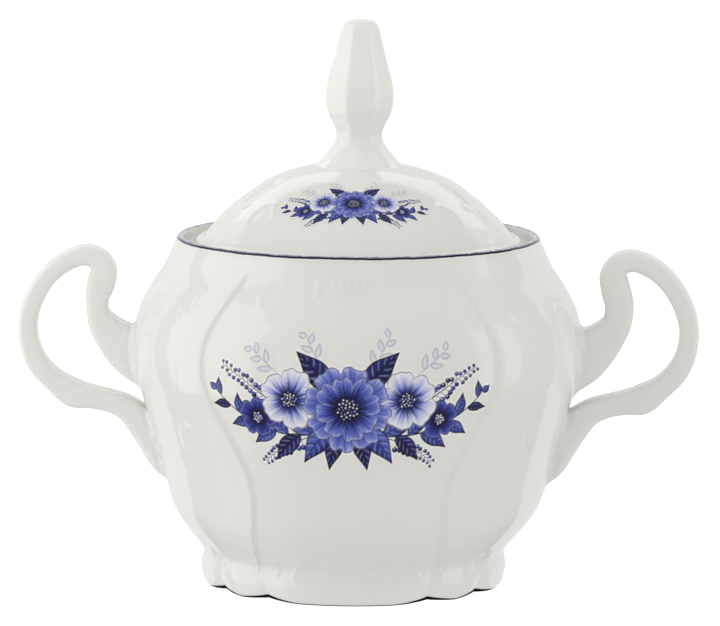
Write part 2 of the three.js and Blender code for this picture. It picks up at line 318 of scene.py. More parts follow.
def lobed(theta, radius, height):
    """Scallops the skirt of the foot: its edge rises to a cusp, and steps in, where two lobes meet."""
    quarter = np.pi / 2
    side = np.abs((theta + quarter) % np.pi - quarter)
    near = np.clip(1 - np.minimum(np.abs(side - CUSPS[0]), np.abs(side - CUSPS[1])) / CUSP_REACH, 0, 1)
    foot = np.where(height < FOOT_FADE, smoothstep(FOOT_INNER, FOOT_INNER + 1, radius), 0)
    skirt = foot * smoothstep(SKIRT_START, SKIRT_FULL, radius)
    dip = FOOT_DIP * near ** 2 * (1 - smoothstep(LOBES_LOW, FOOT_FADE, height)) * skirt
    rise = SIDE_LIFT * np.sin(theta) ** 2 * skirt + CUSP_LIFT * near ** CUSP_CURVE * foot
    lift = rise * (1 - smoothstep(EDGE_LOW, EDGE_HIGH, height))
    return radius - dip, height + lift


# ------------------------------------------------------------------ painting
def srgb(r, g, b):
    """A colour given as 8-bit screen values, in linear light."""
    c = np.array([r, g, b]) / 255.0
    return np.where(c <= 0.04045, c / 12.92, ((c + 0.055) / 1.055) ** 2.4)


PAPER = srgb(230, 229, 224)       # the glaze, which inks are measured against
NAVY_BLACK = srgb(22, 22, 40)
NAVY = srgb(30, 32, 82)
INK = srgb(24, 25, 52)
DEEP = srgb(44, 50, 126)
BLUE = srgb(74, 86, 172)
SOFT = srgb(112, 122, 194)
PALE = srgb(168, 174, 218)
MIST = srgb(205, 207, 226)
WHITE = srgb(236, 236, 238)
TWIG = srgb(140, 143, 180)


def blend3(a, b, t):
    """Mixes two colours, from a at 0 to b at 1."""
    t = np.asarray(t)[..., None]
    return a * (1 - t) + b * t


def ramp(stops, t):
    """Colour at t along a list of (place, colour) stops."""
    places = [p for p, _ in stops]
    return np.stack([np.interp(t, places, [c[k] for _, c in stops]) for k in range(3)], -1)


def grown(mask, steps):
    """The mask with a margin of a few cells round it."""
    for _ in range(steps):
        wide = mask.copy()
        wide[1:] |= mask[:-1]
        wide[:-1] |= mask[1:]
        wide[:, 1:] |= mask[:, :-1]
        wide[:, :-1] |= mask[:, 1:]
        mask = wide
    return mask


class Canvas(Sheet):
    """A sheet of colour that the flowers are painted on."""

    def __init__(self, *size):
        super().__init__(*size)
        self.colour = np.empty((len(self.v), len(self.u), 3))
        self.colour[:] = PAPER
        self.cover = np.zeros((len(self.v), len(self.u)))
        self.grain = np.random.default_rng(3).normal(0, 1, self.cover.shape)

    def lay(self, spot, alpha, tint):
        """Paints over the cells at spot, as thickly as alpha says."""
        a = np.clip(alpha, 0, 1)[..., None]
        self.colour[spot] = self.colour[spot] * (1 - a) + tint * a
        self.cover[spot] = np.maximum(self.cover[spot], alpha)

    def soften(self, gap):
        """1 inside an edge and 0 outside it, over about one cell."""
        return smoothstep(-0.9 * self.pitch, 0.9 * self.pitch, gap)


def petal(cv, centre, aim, reach, spread, tones, seed, square=3.0, notch=0.05,
          streak=1.1, rim=0.1, ruffle=0.04, outline=0.8):
    """A petal that fans out of centre: aim in degrees, reach in mm, spread its half angle."""
    pad = reach * 1.15
    spot, uu, vv = cv.window(centre[0] - pad, centre[0] + pad, centre[1] - pad, centre[1] + pad)
    du, dv = uu - centre[0], vv - centre[1]
    r = np.hypot(du, dv)
    off = (np.degrees(np.arctan2(dv, du)) - aim + 180) % 360 - 180
    x = off / spread
    edge = np.clip(1 - np.abs(x) ** square, 0, 1) ** (1 / square)
    edge = edge * (1 - notch * np.exp(-(x / 0.22) ** 2))
    edge = edge * (1 + ruffle * wave_noise(x * 5.0, seed))
    far = reach * edge
    gap = np.minimum(far - r, (1 - np.abs(x)) * np.radians(spread) * r)
    t = np.clip(r / np.maximum(far, 1e-3), 0, 1)
    lines = wave_noise(off * 0.26 + 0.9 * wave_noise(r * 0.6, seed + 3), seed + 1, 6)
    hair = np.abs(wave_noise(off * 0.55 + 0.5 * wave_noise(r * 0.8, seed + 4), seed + 2, 5))
    tone = t + streak * (0.17 * lines + 0.16 * (hair - 0.35)) * (1.1 - 0.7 * t)
    tint = ramp(tones, np.clip(tone + 0.015 * cv.grain[spot], 0, 1))
    lip = np.exp(-((gap - 0.42) / 0.2) ** 2) * smoothstep(0.5, 0.85, t)
    tint = blend3(tint, WHITE, np.clip(rim * lip, 0, 1))
    tint = blend3(tint, INK, outline * np.exp(-((gap - 0.08) / 0.2) ** 2) * smoothstep(0.1, 0.4, t))
    cv.lay(spot, cv.soften(gap), tint)


def leaf(cv, base, tip, width, tones, seed, bend=0.0, veins=7, vein_tint=NAVY, vein_power=0.6,
         outline=0.85, belly=0.42, edge_tint=NAVY_BLACK, midrib=0.0, alpha=1.0, lean=0.35, sharp=0.0):
    """A leaf from base to tip, width across at its belly, bent sideways by bend (in lengths).

    lean darkens one side of it and lights the other, and sharp draws its tip in.
    """
    base, tip = np.array(base, float), np.array(tip, float)
    length = np.hypot(*(tip - base))
    along = (tip - base) / length
    mid = (base + tip) / 2
    pad = length * (0.62 + abs(bend)) + width
    spot, uu, vv = cv.window(mid[0] - pad, mid[0] + pad, mid[1] - pad, mid[1] + pad)
    du, dv = uu - base[0], vv - base[1]
    s = (du * along[0] + dv * along[1]) / length
    sc = np.clip(s, 0, 1)
    q = dv * along[0] - du * along[1] - bend * length * np.sin(np.pi * sc)
    shape = np.sin(np.pi * sc ** (np.log(0.5) / np.log(belly))) ** 0.75
    half = width / 2 * shape * (1 - sharp * smoothstep(0.5, 1.0, sc))
    gap = np.where((s < 0) | (s > 1), -1.0, half - np.abs(q))
    x = q / np.maximum(half, 1e-3)
    tone = 0.55 + lean * x + 0.2 * (0.5 - sc) + 0.12 * wave_noise(q * 2 + s * 7, seed) + 0.02 * cv.grain[spot]
    tint = ramp(tones, np.clip(tone, 0, 1))
    ax = np.abs(x)
    wander = 0.05 * wave_noise(q * 2.3 + s * 6, seed + 5) + 0.25 * np.sign(x)
    phase = (sc * veins - ax ** 1.4 * 1.2 + wander) % 1.0
    power = vein_power * (0.75 + 0.35 * wave_noise(s * 17 + x * 3, seed + 7))
    rib = np.exp(-((phase - 0.5) / 0.13) ** 2) * (1 - smoothstep(0.8, 1.0, ax))
    glint = np.exp(-((phase - 0.78) / 0.14) ** 2)
    glint = glint * (1 - smoothstep(0.6, 1.0, ax)) * smoothstep(0, 0.35, ax)
    tint = blend3(tint, vein_tint, np.clip(power * rib, 0, 1))
    tint = blend3(tint, PALE, np.clip(0.55 * power * glint, 0, 1))
    tint = blend3(tint, NAVY_BLACK, midrib * np.exp(-(q / 0.14) ** 2))
    tint = blend3(tint, edge_tint, outline * np.exp(-((gap - 0.08) / 0.27) ** 2))
    cv.lay(spot, cv.soften(gap) * alpha, tint)


def stroke(cv, points, width, tint, alpha=1.0, taper=0.6):
    """A brush line through points, thinning towards its end."""
    spot, off, along = cv.follow(points, width + 0.5)
    cv.lay(spot, alpha * cv.soften(width / 2 * (1 - taper * along) - np.abs(off)), tint)


def dot(cv, centre, radius, tint, squash=1.0, turned=0.0):
    """A round dot; squash below 1 makes it an oval, and turned is the oval's angle in degrees."""
    pad = radius * 1.3 + 0.2
    spot, uu, vv = cv.window(centre[0] - pad, centre[0] + pad, centre[1] - pad, centre[1] + pad)
    du, dv = uu - centre[0], vv - centre[1]
    c, s = cos(radians(turned)), sin(radians(turned))
    cv.lay(spot, cv.soften(radius - np.hypot(du * c + dv * s, (dv * c - du * s) / squash)), tint)


def halo(cv, reach=3):
    """The paler edge of bare glaze around the print."""
    inked = cv.cover > 0.85
    near = sum(grown(inked, k + 1).astype(float) for k in range(reach)) / reach
    cv.colour[:] = blend3(cv.colour, PAPER * 1.2, 0.9 * near * (1 - np.clip(cv.cover, 0, 1)))


# ------------------------------------------------------------------ the flower spray
# A plain symmetrical spray: one round flower in the middle, two pairs beside it, and a leafy stem each way.
DEEP_PETAL = [(0, NAVY_BLACK), (0.3, NAVY), (0.46, DEEP), (0.7, BLUE), (0.9, SOFT), (1, PALE)]
PALE_PETAL = [(0, NAVY), (0.27, DEEP), (0.36, BLUE), (0.47, SOFT), (0.6, PALE), (0.76, MIST), (1, WHITE)]
SMALL_PETAL = [(0, NAVY_BLACK), (0.4, NAVY), (0.62, DEEP), (1, BLUE)]
DARK_LEAF = [(0, NAVY_BLACK), (0.6, NAVY), (1, DEEP)]
LIT_LEAF = [(0, NAVY), (0.3, DEEP), (0.6, BLUE), (1, SOFT)]
FAINT_LEAF = [(0, MIST), (0.6, PAPER), (1, PAPER)]
STEM = [(0.0, -3.0), (8.0, -5.6), (16.0, -5.2), (23.5, -2.0), (29.5, 3.2)]     # the right-hand one's line
STAMEN_TURN = 137.5     # degrees from one stamen to the next, which spaces them evenly


def heading(aim):
    """The unit vector at an angle in degrees."""
    return np.array([cos(radians(aim)), sin(radians(aim))])


def facing(way, aim):
    """An angle in degrees, mirrored to the left where way is -1."""
    return aim if way > 0 else 180 - aim


def bloom(cv, centre, radius, petals, tones, seed, turned=90.0, rows=1):
    """A round flower: rows of equal petals, each turned by half a petal, round a heart of stamens."""
    rng = np.random.default_rng(seed)
    pitch = 360 / petals
    for row in range(rows):
        for k in range(petals):
            aim = turned + pitch * (k + row / 2) + rng.uniform(-2, 2)
            reach = radius * (1 - 0.24 * row) * rng.uniform(0.95, 1.03)
            petal(cv, centre, aim, reach, 0.6 * pitch, tones, seed + 20 * row + k)
    heart = 0.26 * radius
    for k in range(36):
        way = heading(10 * k + rng.uniform(-3, 3))
        stroke(cv, [centre + way * 0.5 * heart, centre + way * heart * rng.uniform(1.5, 2.2)],
               0.07 * radius, NAVY_BLACK, alpha=0.8, taper=0.85)
    dot(cv, centre, heart, INK)
    stamens = int(7 * heart ** 1.3) + 8
    for k in range(stamens):
        way = heading(STAMEN_TURN * k) * heart * 0.92 * np.sqrt((k + 0.5) / stamens)
        dot(cv, centre + way, 0.19, (WHITE, PALE, WHITE, SOFT)[rng.integers(4)], squash=0.8,
            turned=rng.uniform(0, 180))


def leafy_stem(cv, way, seed):
    """The stem to the right, or to the left where way is -1, with leaves in turn above and below it."""
    rng = np.random.default_rng(seed)
    line = curve_through([(way * u, v) for u, v in STEM], 60)
    stroke(cv, line[::6], 0.55, NAVY_BLACK, taper=0.5)
    for k in range(9):
        base = line[14 + 5 * k]
        along = line[16 + 5 * k] - base
        side = way * (-1) ** k
        aim = np.degrees(np.arctan2(along[1], along[0])) + 46 * side + rng.uniform(-8, 8)
        length = (8.4 - 0.52 * k) * rng.uniform(0.9, 1.08)
        leaf(cv, base, base + heading(aim) * length, 0.46 * length, (LIT_LEAF, DARK_LEAF, LIT_LEAF)[k % 3],
             seed + k, bend=-0.05 * side, veins=6, vein_power=0.9, outline=1.0, sharp=0.45, midrib=0.5)
    leaf(cv, line[-3], line[-1] + (line[-1] - line[-7]) * 0.6, 1.7, LIT_LEAF, seed + 9, veins=5, sharp=0.5)


def berry_sprig(cv, root, aim, length, seed, bow=0.2):
    """A thin bowed twig with stalked round buds on either side in turn, smaller towards its end."""
    rng = np.random.default_rng(seed)
    forward, sideways = heading(aim), heading(aim + 90)
    bend = [np.array(root) + forward * length * t + sideways * bow * length * np.sin(np.pi * t / 2)
            for t in np.linspace(0, 1, 7)]
    stroke(cv, bend, 0.3, NAVY, taper=0.6)
    for k, place in enumerate(curve_through(bend, 24)[4:]):
        side = (-1) ** k
        radius = 0.66 - 0.015 * k
        bud = place + heading(aim + side * 58) * (1.9 - 0.055 * k) * rng.uniform(0.6, 1.1)
        stroke(cv, [place, bud], 0.2, NAVY, taper=0.2)
        dot(cv, bud, radius, (NAVY_BLACK, NAVY, DEEP)[rng.integers(3)])
        dot(cv, bud + heading(120) * 0.35 * radius, 0.4 * radius, (BLUE, SOFT, PALE)[rng.integers(3)])


def faint_twig(cv, root, aim, length, seed):
    """A pale leafy twig behind the flowers."""
    forward = heading(aim)
    twig = dict(tint=TWIG, alpha=0.75)
    stroke(cv, [np.array(root), root + forward * length], 0.2, **twig)
    for k in range(5):
        base = root + forward * length * (0.35 + 0.15 * k)
        side = (-1) ** k
        leaf(cv, base, base + heading(aim + 42 * side) * (3.4 - 0.35 * k), 1.4, FAINT_LEAF, seed + k, veins=5,
             vein_tint=TWIG, vein_power=0.5, edge_tint=TWIG, outline=0.8, alpha=0.75, bend=0.04 * side)


def paint_spray(cv):
    """The whole spray, from the back to the front, with its middle at (0, 0)."""
    for way in (-1, 1):
        faint_twig(cv, np.array([way * 4.0, 6.0]), facing(way, 62), 10.5, 40 + way)
        faint_twig(cv, np.array([way * 13.0, 6.0]), facing(way, 38), 10.0, 50 + way)
        berry_sprig(cv, (way * 16.0, 1.0), facing(way, 26), 13.0, 60 + way, bow=0.12 * way)
        berry_sprig(cv, (way * 8.0, -6.0), facing(way, -42), 12.0, 70 + way, bow=0.25 * way)
        leafy_stem(cv, way, 80 + 10 * way)
        for aim, length, tones in ((-72, 9.5, DARK_LEAF), (-50, 11.0, LIT_LEAF), (48, 11.5, DARK_LEAF)):
            root = heading(facing(way, aim)) * 4.5
            tip = root + heading(facing(way, aim)) * length
            leaf(cv, root, tip, 0.44 * length, tones, 90 + way, bend=0.04 * way, vein_power=0.9,
                 outline=1.0, sharp=0.4, midrib=0.6, lean=0.35 * way)
        bloom(cv, np.array([way * 19.6, -2.4]), 4.4, 5, SMALL_PETAL, 100 + way, turned=90 + 14 * way)
        bloom(cv, np.array([way * 12.2, 1.8]), 6.7, 5, PALE_PETAL, 110 + way, turned=90 + 20 * way)
    bloom(cv, np.array([0.0, 0.0]), 9.6, 8, DEEP_PETAL, 120, turned=78, rows=2)
    halo(cv)


# ------------------------------------------------------------------ relief
def scroll(middle, size, start, way, turns=0.75):
    """A C-scroll that rolls inwards round its middle, from an angle in degrees, anticlockwise for way 1."""
    t = np.linspace(0, 1, 10)
    angle = radians(start) + way * t * turns * 2 * np.pi
    reach = size * (1 - 0.72 * t)
    return np.stack([middle[0] + reach * np.cos(angle), middle[1] + reach * np.sin(angle)], -1)


def both_ways(ridge, points, *sizes, step=0.0, **options):
    """The same ridge on the right and, mirrored, on the left."""
    for way in (-1, 1):
        ridge([(way * u, v) for u, v in points], *sizes, step=way * step, **options)


def fan(ridge, root, inner, outer, count, spacing, height, width):
    """Short ridges that spread upwards from a point."""
    for k in range(count):
        way = heading(90 + spacing * (k - (count - 1) / 2))
        line = [root + way * reach for reach in (inner, (inner + outer) / 2, outer)]
        ridge(line, height, width, taper=0.35)


# The front panel's ogee edges are cosine waves: how far they run from the middle, how far they sway, the
# height of one wave, and where they are widest.
PANEL_HALF_WIDTH, PANEL_SWAY, PANEL_WAVE, PANEL_WIDEST = 28.6, 4.4, 56.0, 8.0

BODY_RELIEF_SCALE, LID_RELIEF_SCALE = 1.2, 1.35     # how boldly the raised work stands out
RELIEF_FADE = (68.5, 72.5)     # the body's dies away between these heights, under the lip
RELIEF_FOOT = (0.3, 2.5)       # and between these ones, at the table
KNOB_CLEAR = (9.0, 14.0)       # the lid's dies away between these radii, towards the knob


def body_relief():
    """The raised work of one half of the body, in (u, v) from the front; the back half repeats it.

    A plain panel between two ogee edges, with a fan and C-scrolls, the same on both sides.
    """
    relief = Relief(-76, 76, -43, 31, 0.2)
    ridge = relief.ridge
    v = np.linspace(30, -40, 15)
    edge = PANEL_HALF_WIDTH + PANEL_SWAY * np.cos((v - PANEL_WIDEST) * 2 * np.pi / PANEL_WAVE)
    both_ways(ridge, np.stack([edge, v], -1), 0.3, 0.65, step=0.3, fade=4.0, taper=0.12)
    fan(ridge, np.array([0.0, 18.5]), 4.0, 9.0, 5, 15, 0.22, 0.5)
    both_ways(ridge, scroll((10.5, 23.6), 4.6, 60, 1), 0.18, 0.7)
    both_ways(ridge, scroll((18.5, 21.0), 3.4, 100, -1), 0.16, 0.7)
    both_ways(ridge, scroll((41.5, 19.5), 5.2, 75, 1), 0.17, 0.8)
    both_ways(ridge, scroll((40.5, -9.0), 4.6, 250, 1), 0.14, 0.9)
    both_ways(ridge, scroll((56.5, 12.8), 7.0, 290, 1, turns=0.95), 0.3, 0.55)
    for cusp in CUSPS:
        middle = cusp * GIRTH
        both_ways(ridge, scroll((middle - 3.4, -37.0), 2.6, 20, 1), 0.16, 0.55)
        both_ways(ridge, scroll((middle + 3.4, -37.0), 2.6, 160, -1), 0.16, 0.55)
    both_ways(ridge, scroll((5.4, -37.8), 3.2, 30, 1), 0.16, 0.6)
    both_ways(ridge, scroll((15.0, -38.0), 2.6, 150, -1), 0.12, 0.7)
    return relief


def lid_relief():
    """The raised scrolls of one half of the lid, in (u, v): angle times LID_GIRTH and height."""
    relief = Relief(-42, 42, 73.5, 89.5, 0.12)
    ridge = relief.ridge
    both_ways(ridge, scroll((21.5, 79.4), 4.2, 200, -1, turns=0.8), 0.24, 0.42)
    both_ways(ridge, scroll((29.5, 83.0), 3.8, 120, -1, turns=0.8), 0.24, 0.42)
    both_ways(ridge, scroll((35.0, 78.6), 3.4, 60, 1, turns=0.8), 0.2, 0.42)
    both_ways(ridge, [(4.0, 75.1), (11.0, 75.2), (18.0, 75.6)], 0.14, 0.34)
    return relief


def ripple(theta, height, seed):
    """The slow unevenness of a fired and glazed wall."""
    rng = np.random.default_rng(seed)
    total = np.zeros(np.broadcast(theta, height).shape)
    for waves in (2, 3, 5, 7):
        phase = waves * theta + rng.uniform(0, 6.3) + height * rng.uniform(-0.09, 0.09)
        total = total + np.sin(phase) / waves
    return 0.05 * total


# ------------------------------------------------------------------ skins
BODY_RELIEF = body_relief()
LID_RELIEF = lid_relief()

FOOT_PARTS = [(STANDING_RING, 0.2)]
WALL_PARTS = FOOT_PARTS + [([STANDING_RING[-1]] + OUTER_WALL, 0.36)]
BOWL_LINE = joined(*WALL_PARTS, (LIP, 0.16), (GALLERY, 0.5), (INNER_WALL, 1.3))
BOWL_LINE[:, 1] = np.maximum(BOWL_LINE[:, 1], 0)     # nothing goes below the table
WALL_START, WALL_END = (run_of(joined(*parts))[-1] for parts in (FOOT_PARTS, WALL_PARTS))
UNDER_PARTS = [(LID_INSIDE, 1.2), (FLANGE, 0.5), (BRIM, 0.14)]
LID_LINE = joined(*UNDER_PARTS, (DOME, 0.36))
DOME_START = run_of(joined(*UNDER_PARTS))[-1]


def half_turn(theta):
    """The angle from the nearer of front and back, so that the back repeats the front."""
    return (theta + np.pi / 2) % np.pi - np.pi / 2


def body_raised(theta, radius, height, run):
    """How far the bowl's outside stands proud of its outline."""
    outside = (run < WALL_END) & (radius > FOOT_INNER)
    below_lip = 1 - smoothstep(*RELIEF_FADE, height)
    above_table = smoothstep(*RELIEF_FOOT, height)
    work = BODY_RELIEF_SCALE * BODY_RELIEF.at(half_turn(theta) * GIRTH, height - MID_HEIGHT)
    return np.where(outside, (work + ripple(theta, height, 1)) * below_lip * above_table, 0.0)


def lid_raised(theta, radius, height, run):
    """How far the lid's dome stands proud of its outline."""
    fade = smoothstep(DOME_START, DOME_START + 1.5, run) * smoothstep(*KNOB_CLEAR, radius)
    work = LID_RELIEF_SCALE * LID_RELIEF.at(half_turn(theta) * LID_GIRTH, height)
    return (work + ripple(theta, height, 2)) * fade


BODY = Skin(BOWL_LINE, body_raised, FOOT_SHIFT)
LID = Skin(LID_LINE, lid_raised)


def skin_grid(skin, columns):
    """Rings of points over a whole skin, with the first column at the back."""
    theta, run = np.meshgrid(around(columns) + np.pi, skin.run)
    return skin.at(theta, run)


# ------------------------------------------------------------------ materials
def porcelain(name, inked=False, tone=1.0):
    """White glazed porcelain; inked ones carry their print in the mesh's ink colours. A tone above 1 makes a
    brighter copy of the same glaze, which is painted light.
    """
    material = bpy.data.materials.new(name)
    material.use_nodes = True
    nodes, links = material.node_tree.nodes, material.node_tree.links
    shader = nodes["Principled BSDF"]
    shader.inputs["IOR"].default_value = 1.52
    where = nodes.new("ShaderNodeTexCoord")

    def noise(scale, detail):
        node = nodes.new("ShaderNodeTexNoise")
        node.inputs["Scale"].default_value = scale
        node.inputs["Detail"].default_value = detail
        links.new(where.outputs["Object"], node.inputs["Vector"])
        return node.outputs["Fac"]

    body = nodes.new("ShaderNodeMix")
    body.data_type = "RGBA"
    body.inputs["A"].default_value = (0.800 * tone, 0.792 * tone, 0.748 * tone, 1)
    body.inputs["B"].default_value = (0.828 * tone, 0.822 * tone, 0.784 * tone, 1)
    links.new(noise(38.0, 3.0), body.inputs["Factor"])
    colour = body.outputs["Result"]
    if inked:
        ink = nodes.new("ShaderNodeAttribute")
        ink.attribute_name = "ink"
        printed = nodes.new("ShaderNodeMix")
        printed.data_type = "RGBA"
        printed.blend_type = "MULTIPLY"
        printed.inputs["Factor"].default_value = 1.0
        links.new(colour, printed.inputs["A"])
        links.new(ink.outputs["Color"], printed.inputs["B"])
        colour = printed.outputs["Result"]
    links.new(colour, shader.inputs["Base Color"])

    gloss = nodes.new("ShaderNodeMapRange")
    gloss.inputs["To Min"].default_value = 0.045
    gloss.inputs["To Max"].default_value = 0.11
    links.new(noise(70.0, 2.0), gloss.inputs["Value"])
    links.new(gloss.outputs["Result"], shader.inputs["Roughness"])

    skin = nodes.new("ShaderNodeBump")
    skin.inputs["Strength"].default_value = 0.35
    skin.inputs["Distance"].default_value = 0.00012
    links.new(noise(190.0, 2.0), skin.inputs["Height"])
    links.new(skin.outputs["Normal"], shader.inputs["Normal"])
    return material


def dress(obj, material, body, slot, *nodes):
    """Gives a piece its material and body, and hides the CAD nodes that it stands for; slot is not used."""
    obj.data.materials.append(material)
    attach(obj, body)
    if nodes:
        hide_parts(*nodes)
    return obj


GLAZE = porcelain("porcelain_glaze")
PRINTED = porcelain("porcelain_print", inked=True)
# A brighter copy of the same glaze: painted light that brightens the knob and the left handle.
PAINTED_LIGHT_GLAZE = porcelain("porcelain_painted_light_glaze", tone=1.08)

# ------------------------------------------------------------------ bowl and lid
bowl = lathe_mesh("bowl_body", skin_grid(BODY, COLUMNS))
dress(bowl, GLAZE, "bowl", "bowl_porcelain", "bowl")

lid = lathe_mesh("lid_dome", skin_grid(LID, LID_COLUMNS))
dress(lid, GLAZE, "lid", "lid_porcelain", "lid")


# ------------------------------------------------------------------ knob
def octagon(theta):
    """Radius of a rounded octagon round a mean of 1."""
    faces = KNOB_TURN + np.arange(8) * np.pi / 4
    reach = np.clip(np.cos(theta[..., None] - faces), 0, 1) ** FACET_SHARPNESS
    return FACET_MEAN / reach.sum(-1) ** (1 / FACET_SHARPNESS)


def knob_grid(columns=240):
    """Rings of points up the knob: round and fluted at its base, and an octagon above."""
    line = joined((KNOB_SIDE, 0.22))
    theta, radius = np.meshgrid(around(columns), line[:, 0])
    height = np.repeat(line[:, 1:], columns, axis=1)
    facets = smoothstep(FACETS_START, FACETS_FULL, height)
    facets = facets * (1 - 0.5 * smoothstep(FACETS_SOFTEN, KNOB_TOP, height))
    radius = radius * (1 + facets * (octagon(theta) - 1))
    flutes = smoothstep(FLUTES_START, FLUTES_FULL, height)
    flutes = flutes * (1 - smoothstep(FLUTES_FADE, FLUTES_END, height))
    radius = radius * (1 + FLUTE_DEPTH * flutes * np.cos(8 * (theta - KNOB_TURN)))
    grid = turn(theta, radius, height)
    grid[..., 0] += KNOB_LEAN * (grid[..., 2] - KNOB_FOOT)
    return grid


knob = lathe_mesh("lid_knob", knob_grid())
# The knob wears the brighter copy of the glaze, which is painted light.
dress(knob, PAINTED_LIGHT_GLAZE, "lid", "knob_porcelain", "knob")


# ------------------------------------------------------------------ handles
def squarer(value):
    """Pushes a sine or cosine towards 1 or -1, so that a round section gets flatter sides."""
    return np.sign(value) * np.abs(value) ** HANDLE_SQUARENESS


def handle_grid(girth, pinch, rings=300, sides=72):
    """Rings of points along the handle, scaled in thickness by girth and pinched at the thumb curl."""
    path = curve_through(HANDLE_PATH, rings)
    middle, half_thick, half_deep = path[:, :2], path[:, 2] * girth, path[:, 3]
    curl = np.exp(-((middle[:, 1] - PINCH_HEIGHT) / PINCH_REACH) ** 2)
    half_thick = half_thick - pinch * curl * (middle[:, 0] < PINCH_SIDE)
    way = unit(np.gradient(middle, axis=0))
    across = np.stack([way[:, 1], -way[:, 0]], -1)
    corner = around(sides)
    thick = squarer(np.cos(corner))[None, :] * half_thick[:, None]
    deep = squarer(np.sin(corner))[None, :] * half_deep[:, None]
    x = middle[:, :1] + across[:, :1] * thick
    z = middle[:, 1:] + across[:, 1:] * thick
    return flare(np.stack([x, deep, z], -1), middle)


def wall_gap(grid):
    """How far points stand off the bowl's wall, negative inside it, and the way out of the wall there."""
    outer = BODY.run < WALL_END
    radius = np.hypot(grid[..., 0], grid[..., 1])
    wall, lean, rise = (np.interp(grid[..., 2], BODY.line[outer, 1], column[outer])
                        for column in (BODY.line[:, 0], BODY.normal[:, 0], BODY.normal[:, 1]))
    out = np.stack([lean * grid[..., 0] / radius, lean * grid[..., 1] / radius, rise], -1)
    return (radius - wall) * lean, out


FILLET = 1.2                          # radius of the fillet round a handle's ends
BEAD, BEAD_GAP, BEAD_WIDTH = 0.12, 1.5, 0.25     # the low bead in front of it
BURIED = -0.7                         # a ring that is all this deep in the wall isn't made


def flare(grid, middle):
    """Spreads the ends along the bowl's wall, behind a low bead, so that they blend into it."""
    centre = np.stack([middle[:, 0], np.zeros(len(middle)), middle[:, 1]], -1)[:, None, :]
    gap, out = wall_gap(grid)
    spread = unit(grid - centre)
    spread = spread - out * (spread * out).sum(-1, keepdims=True)
    near = np.clip(1 - gap / FILLET, 0, 1)
    bead = BEAD * np.exp(-((gap - BEAD_GAP) / BEAD_WIDTH) ** 2)
    return grid + spread * (FILLET * (1 - np.sqrt(1 - near ** 2)) + bead)[..., None]


def handle_mesh(name, side, girth, pinch):
    """A handle on the right, or turned half round to the left where side is -1."""
    grid = handle_grid(girth, pinch)
    shown = np.flatnonzero(wall_gap(grid)[0].max(1) > BURIED)
    grid = grid[shown[0]:shown[-1] + 1]
    if side < 0:
        grid = grid * np.array([-1, -1, 1])
    return lathe_mesh(name, grid)


# The left handle wears the brighter copy of the glaze, which is painted light; the right one wears the plain
# glaze.
for side, name, glaze, girth, pinch in ((1, "handle_right", GLAZE, 1.03, 0.0),
                                        (-1, "handle_left", PAINTED_LIGHT_GLAZE, 0.98, 0.65)):
    handle = handle_mesh(name + "_loop", side, girth, pinch)
    dress(handle, glaze, "bowl", "handle_porcelain", name)


# ------------------------------------------------------------------ prints
def print_film(name, points, ink, keep=None):
    """A thin film over the glaze that carries ink, as a grid of points and its colours."""
    rows, columns, _ = points.shape
    i, j = np.meshgrid(np.arange(rows - 1), np.arange(columns - 1), indexing="ij")
    corner = i * columns + j
    quads = np.stack([corner, corner + 1, corner + columns + 1, corner + columns], -1)
    if keep is not None:
        quads = quads[keep[:-1, :-1] & keep[:-1, 1:] & keep[1:, :-1] & keep[1:, 1:]]
    quads = quads.reshape(-1, 4)
    used, quads = np.unique(quads, return_inverse=True)
    film = add_mesh(name, points.reshape(-1, 3)[used], quads.reshape(-1, 4))
    colours = np.ones((len(used), 4), np.float32)
    colours[:, :3] = (ink / PAPER).reshape(-1, 3)[used]
    film.data.color_attributes.new("ink", "FLOAT_COLOR", "POINT").data.foreach_set("color", colours.ravel())
    return film


POSY_REACH, POSY_RISE = 37.0, 19.0     # half the width and half the height of the painted sheet
POSY_PITCH = 0.13
INKED = 0.02          # cover above which a place counts as printed
FILM_MARGIN = 7       # cells of film beyond the ink
WALL_LOW, WALL_HIGH = 12.0, 70.0       # heights on the wall that the sheet keeps between

posy = Canvas(-POSY_REACH, POSY_REACH, -POSY_RISE, POSY_RISE, POSY_PITCH)
paint_spray(posy)
patch = grown(posy.cover > INKED, FILM_MARGIN)
u, v = np.meshgrid(posy.u, posy.v)
height = np.clip(v + MID_HEIGHT, WALL_LOW, WALL_HIGH)
points = BODY.at(u / GIRTH, BODY.run_at_height(height, WALL_START, WALL_END), FILM)
dress(print_film("bowl_floral_print", points, posy.colour, patch), PRINTED, "bowl", "bowl_porcelain")

LID_POSY_SCALE = (0.515, 0.465)     # across and up, beside the spray on the bowl
LID_POSY_HEIGHT = 83.65
LID_CONE = 29.5                     # slant distance from there to the tip of the cone that fits the dome


def lid_places(u, v):
    """Lays the flat sheet on the lid as on a cone: angles, and distances along the outline."""
    across = u * LID_POSY_SCALE[0]
    slant = LID_CONE - v * LID_POSY_SCALE[1]
    start = LID.run_at_height(LID_POSY_HEIGHT, DOME_START, LID.run[-1])
    radius = LID.along(LID.line[:, 0], start)
    theta = np.arctan2(across, slant) * LID_CONE / radius
    return theta, start - (np.hypot(across, slant) - LID_CONE)


points = LID.at(*lid_places(u, v), FILM)
dress(print_film("lid_floral_print", points, posy.colour, patch), PRINTED, "lid", "lid_porcelain")


LIP_BAND = (-0.35, 2.25)     # where the painted band begins and ends, along the outline from the wall's end
LIP_LINE = 0.42              # and where its line is
LIP_PITCH = 0.07
LIP_WASH = srgb(96, 102, 150)
LIP_NAVY = srgb(22, 24, 56)


